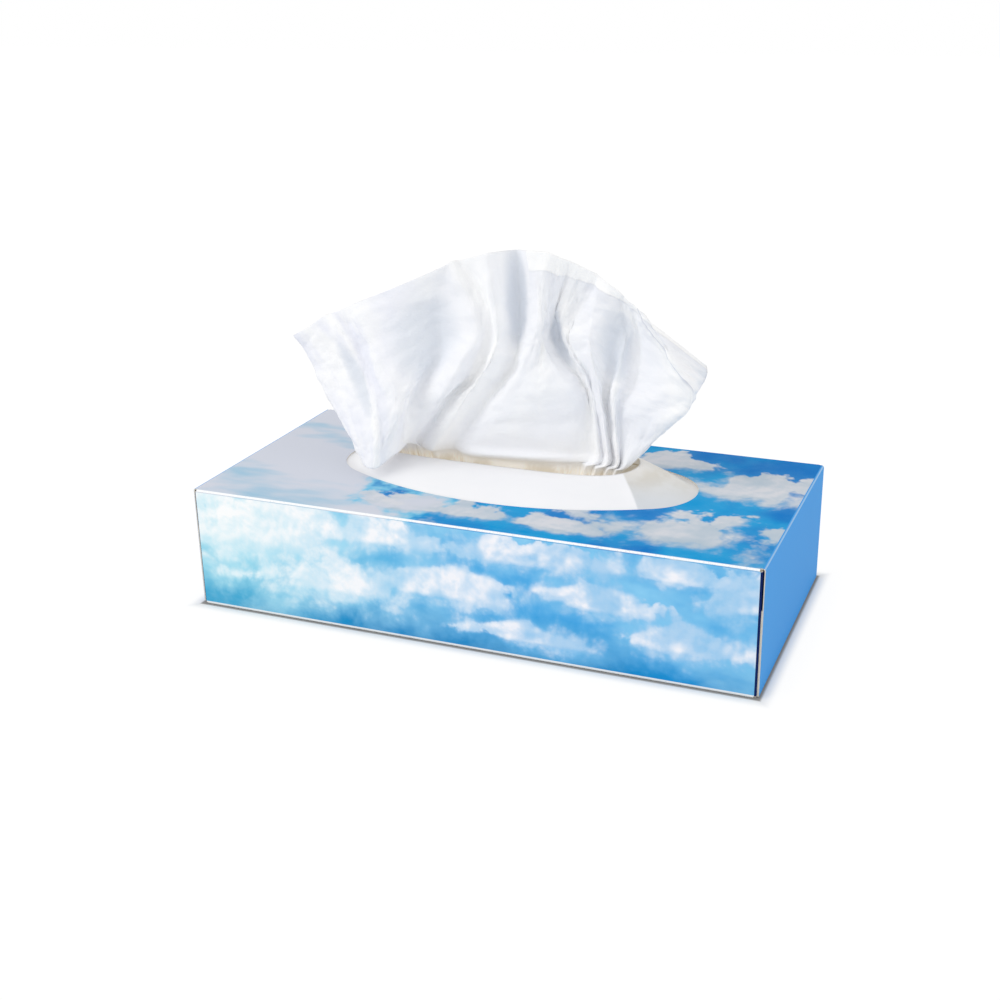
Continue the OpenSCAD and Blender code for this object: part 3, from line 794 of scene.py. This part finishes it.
def tissue_material(free_edge):
    """free_edge is the place of the sheet's upper edge along the flat sheet, in millimetres."""
    material, shader, place = new_material("soft_tissue", Roughness=0.9, Specular_IOR_Level=0.1,
                                           Emission_Strength=0.27)
    x, _, z = place.parts()
    flat = place.add("ShaderNodeTexCoord", out=2)
    drawn_out = flat.vector("MULTIPLY", in1=(1.0, 0.3, 1.0))
    fluff = flat.noise(0.5, 5, 0.6)
    u, v, _ = flat.parts()
    soft = drawn_out.noise(0.05, 3, 0.5).step(0.4, 0.62)
    white = (soft * 0.8 + fluff * 0.2).mix(*PAPER_WHITE)
    # Painted shade: a lilac tint on the left of the sheet.
    lilac = drawn_out.noise(0.11, 3, 0.5).step(0.4, 0.66) * (1 - x.step(-62.0, -34.0))
    white = (lilac * 0.8).mix(white, LILAC_SHADE)
    below = free_edge - v
    # Painted shade in soft grey patches.
    grey = None
    for across, level, half_width, half_height in SHADE_PATCHES:
        a, b = (u - across) / half_width, (below - level) / half_height
        patch = 1 - (a * a + b * b).step(0.1, 1.0)
        grey = patch if grey is None else grey.at_least(patch)
    white = (grey * 0.8).mix(white, PATCH_SHADE)
    # A painted highlight on the folded-over edge, and painted shade just under it.
    beside_hem = u.step(HEM_FROM, HEM_FROM + 1)
    hem = (1 - (below - HEM).step(-0.3, 0.3)) * beside_hem
    under_hem_shade = (1 - below.step(HEM, HEM + 9)) * beside_hem
    white = hem.mix((under_hem_shade * 0.4).mix(white, UNDER_HEM_SHADE), HEM_HIGHLIGHT)
    # A painted shade line along a fold near the right corner.
    run = FLAP_FOLD[1] - FLAP_FOLD[0]
    beside = ((u - FLAP_FOLD[0][0]) * float(run[1]) - below * float(run[0])) / float(np.hypot(*run))
    fold_shade_line = beside.step(-1.6, -0.1) * (1 - beside.step(0.0, 0.3))
    white = (fold_shade_line * 0.8).mix(white, FOLD_SHADE)
    # Painted shade: the paper low in the slit is tinted warm and darker, and a weak glow there is
    # painted light.
    low = 1 - (z - HEIGHT).step(-1.5, 4.5)
    slit_shade = drawn_out.noise(0.2, 3, 0.6).step(0.35, 0.65).mix(*SLIT_SHADE)
    feed(shader, "Base Color", (low * 0.95).mix(white, slit_shade))
    feed(shader, "Emission Color", low.mix(BLACK, slit_shade))
    crepe = flat.vector("MULTIPLY", in1=(0.5, 2.2, 1.0)).noise(0.7, 4, 0.6)
    creases = drawn_out.noise(0.16, 4, 0.6)
    crinkles = flat.add("ShaderNodeTexVoronoi", Vector=flat, Scale=0.16)
    feed_bump(shader, crepe * 0.2 + creases + crinkles * 0.5 + hem * 0.3, 0.6, 0.0012)
    return material


paper = tissue_material(float(flat[0, -1, 1]))
print("nodes in the paper's material:", len(paper.node_tree.nodes))

# %% Make the sheet
# Millimetres over which the crumples set in above the foot and calm down below the free edge.
LOOSE_FROM, LOOSE_REACH = 3.0, 16.0
CALM_SHARE, CALM_REACH = 0.3, 9.0
tissue = add_piece("tissue", grid_mesh("tissue", grid, flat=flat), paper)
above_foot = flat[..., 1] - flat[:, foot_row:foot_row + 1, 1]
below_edge = flat[:, -1:, 1] - flat[..., 1]
loose = smooth(np.clip((above_foot - LOOSE_FROM) / LOOSE_REACH, 0, 1))
loose = (loose * lerp(CALM_SHARE, 1, smooth(np.clip(below_edge / CALM_REACH, 0, 1)))).ravel()
tissue.data.attributes.new("loose", "FLOAT", "POINT").data.foreach_set("value", loose.astype("f"))
run_group(tissue, crumple, Wave=14.0, Depth=2.2, Stretch=1.9, Seed=4, Material=paper)
thicken(tissue, SHEET_T)
stand_for(tissue, "pulled_tissue")
print("sheet quads:", len(tissue.data.polygons))

# %% [markdown]
# ## The stack of sheets
# Under the film lie about a hundred folded sheets. Each is folded once, and every second one the
# other way round, so that half of it lies inside its neighbour's fold and pulls the next one up.
# One folded sheet is a mesh. The rule that stacks it is a job for Geometry Nodes: a line of
# points, half a turn at every second one, and a small nudge with a fixed seed. The paper is
# painted warmer than that of the pulled sheet, as painted shade, and it glows weakly: painted
# light for the light that comes through the film.

# %% A node group that interfolds sheets
def interfold_group():
    tree, given = new_group("interfold", (
        ("Geometry", "Geometry"), ("Sheets", "Int"), ("Pitch", "Float"), ("Play", "Float"),
        ("Seed", "Int"), ("Material", "Material")))
    sheets = given["Sheets"]
    rise = sheets.add("ShaderNodeCombineXYZ", Z=given["Pitch"])
    line = sheets.add("GeometryNodeMeshLine", {"mode": "OFFSET"}, Count=sheets, Offset=rise)
    index = sheets.add("GeometryNodeInputIndex")
    half_turns = index.add("ShaderNodeMath", {"operation": "MODULO"}, in0=index, in1=2.0) * math.pi
    turn = index.add("ShaderNodeCombineXYZ", Z=half_turns)
    nudge = index.add("FunctionNodeRandomValue", {"data_type": "FLOAT_VECTOR"},
                      in0=(-1.0, -1.0, 0.0), in1=(1.0, 1.0, 0.0), Seed=given["Seed"])
    nudge = nudge.vector("SCALE", Scale=given["Play"])
    line = line.add("GeometryNodeSetPosition", Geometry=line, Offset=nudge)
    stack = line.add("GeometryNodeInstanceOnPoints", Points=line, Instance=given["Geometry"],
                     Rotation=turn)
    end_group(tree, stack, given["Material"])
    return tree


interfold = interfold_group()
print("nodes in the interfold group:", len(interfold.nodes))

# %% One folded sheet
stack_low, stack_high = (np.array(corner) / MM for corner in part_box("tissue_stack"))
SHEETS, PLIES_T, PLAY = 100, 0.12, 0.3
LAYER_T = (stack_high[2] - stack_low[2]) / (2 * SHEETS + 2)
FOLD_R = 1.5 * LAYER_T


def folded_points():
    """One sheet folded over: its lower half, the fold, and its upper half, as two columns."""
    half = (stack_high[1] - stack_low[1]) / 2 - FOLD_R - PLAY
    fold = np.radians(np.linspace(-90, 90, 9))
    y = np.concatenate([[-half, 0], half + FOLD_R * np.cos(fold), [0, -half]])
    z = FOLD_R * (1 + np.concatenate([[-1, -1], np.sin(fold), [1, 1]]))
    side = (stack_high[0] - stack_low[0]) / 2 - PLAY
    lift = [0, 0, stack_low[2] + LAYER_T / 2]
    return np.stack([three(x, y, z) for x in (side, -side)]) + lift


print("one layer in mm:", round(LAYER_T, 3), "with a fold of radius", round(FOLD_R, 3))


# %% Make the stack
def stack_material():
    # The warmer base colour is painted shade, and the weak emission is painted light.
    material, shader, place = new_material("stacked_tissue", Roughness=0.9, Specular_IOR_Level=0.1,
                                           Emission_Color=srgb(222, 214, 198),
                                           Emission_Strength=0.25)
    fluff = place.noise(0.5, 4, 0.6)
    feed(shader, "Base Color", fluff.mix(srgb(232, 226, 212), srgb(242, 238, 229)))
    feed_bump(shader, fluff, 0.3, 0.0005)
    return material


stacked = stack_material()
stack = add_piece("folded_sheets", grid_mesh("folded_sheets", folded_points()), stacked)
thicken(stack, PLIES_T)
run_group(stack, interfold, Sheets=SHEETS, Pitch=2 * LAYER_T * MM, Play=PLAY * 0.8 * MM,
          Seed=3, Material=stacked)
stand_for(stack, "tissue_stack")
print("stack quads:", len(stack.data.polygons))

# %% [markdown]
# ## Stage and light
# The photograph has a white ground with a thin dark shadow at the foot of the box. To the camera
# the floor is plain white, and only close to the box does it show its real shading, which keeps
# that shadow. Right at the foot the floor is painted a darker grey, for the thin dark line that a
# hard contact shadow leaves there. The world is white to the camera and weaker as a light. One
# large lamp models the folds and a weak one fills the right end.

# %% Floor
FLOOR_SIZE, WHITE_STRENGTH = 6.0, 1.03
FLOOR_GREY, FOOT_GREY = srgb(240, 240, 240), srgb(140, 140, 140)


def seen_directly(start):
    """1 for rays from the camera, and for those that show the surroundings in a surface."""
    path = start.add("ShaderNodeLightPath")
    rays = [Socket(start.tree, path.output.node.outputs[name])
            for name in ("Is Camera Ray", "Is Glossy Ray", "Is Transmission Ray")]
    return rays[0].at_least(rays[1]).at_least(rays[2])


def floor_material():
    material, shader, place = new_material("pale_floor", Roughness=0.9, Specular_IOR_Level=0.0)
    x, y, _ = place.parts()
    away = (abs(x) - LENGTH / 2).at_least(abs(y) - DEPTH / 2)
    feed(shader, "Base Color", away.step(0.3, 1.5).mix(FOOT_GREY, FLOOR_GREY))
    plain = 0.05 + away.step(0.3, 6.0) * 0.85 + away.step(3.0, 25.0) * 0.1
    white = place.add("ShaderNodeEmission", Color=(1.0, 1.0, 1.0, 1.0), Strength=WHITE_STRENGTH)
    shaded = Socket(place.tree, shader.outputs["BSDF"])
    mixed = place.add("ShaderNodeMixShader", in0=seen_directly(place) * plain, in1=shaded, in2=white)
    place.tree.links.new(mixed.output, place.tree.nodes["Material Output"].inputs["Surface"])
    return material


floor_mesh = bpy.data.meshes.new("floor")
half = FLOOR_SIZE / 2
floor_mesh.from_pydata([(-half, -half, 0), (half, -half, 0), (half, half, 0), (-half, half, 0)], [],
                       [(0, 1, 2, 3)])
floor_mesh.materials.append(floor_material())
floor = bpy.data.objects.new("floor", floor_mesh)
bpy.context.scene.collection.objects.link(floor)
print("side of the floor in metres:", FLOOR_SIZE)

# %% World and lamps
AMBIENT = 0.81


def white_world():
    world = bpy.data.worlds.new("soft_white")
    world.use_nodes = True
    bpy.context.scene.world = world
    background = world.node_tree.nodes["Background"]
    background.inputs["Color"].default_value = (1.0, 1.0, 1.0, 1.0)
    start = Socket(world.node_tree, None)
    feed(background, "Strength", seen_directly(start) * (1 - AMBIENT) + AMBIENT)


def add_lamp(name, place, aim, size, watts, colour):
    data = bpy.data.lights.new(name, "AREA")
    data.shape, data.size, data.energy, data.color = "DISK", size, watts, colour
    lamp = bpy.data.objects.new(name, data)
    bpy.context.scene.collection.objects.link(lamp)
    lamp.location = place
    lamp.rotation_euler = (Vector(aim) - Vector(place)).to_track_quat("-Z", "Y").to_euler()


white_world()
add_lamp("key", (-1.15, -0.95, 1.1), (0, 0, 0.08), 1.4, 9, (1.0, 0.99, 0.98))
add_lamp("fill", (1.4, -0.3, 0.4), (0, 0, 0.05), 0.8, 2.5, (1.0, 1.0, 1.0))

# %% [markdown] ## Finish The Standard view shows colours as they are written.

# %% Finish
bpy.context.scene.view_settings.view_transform = "Standard"
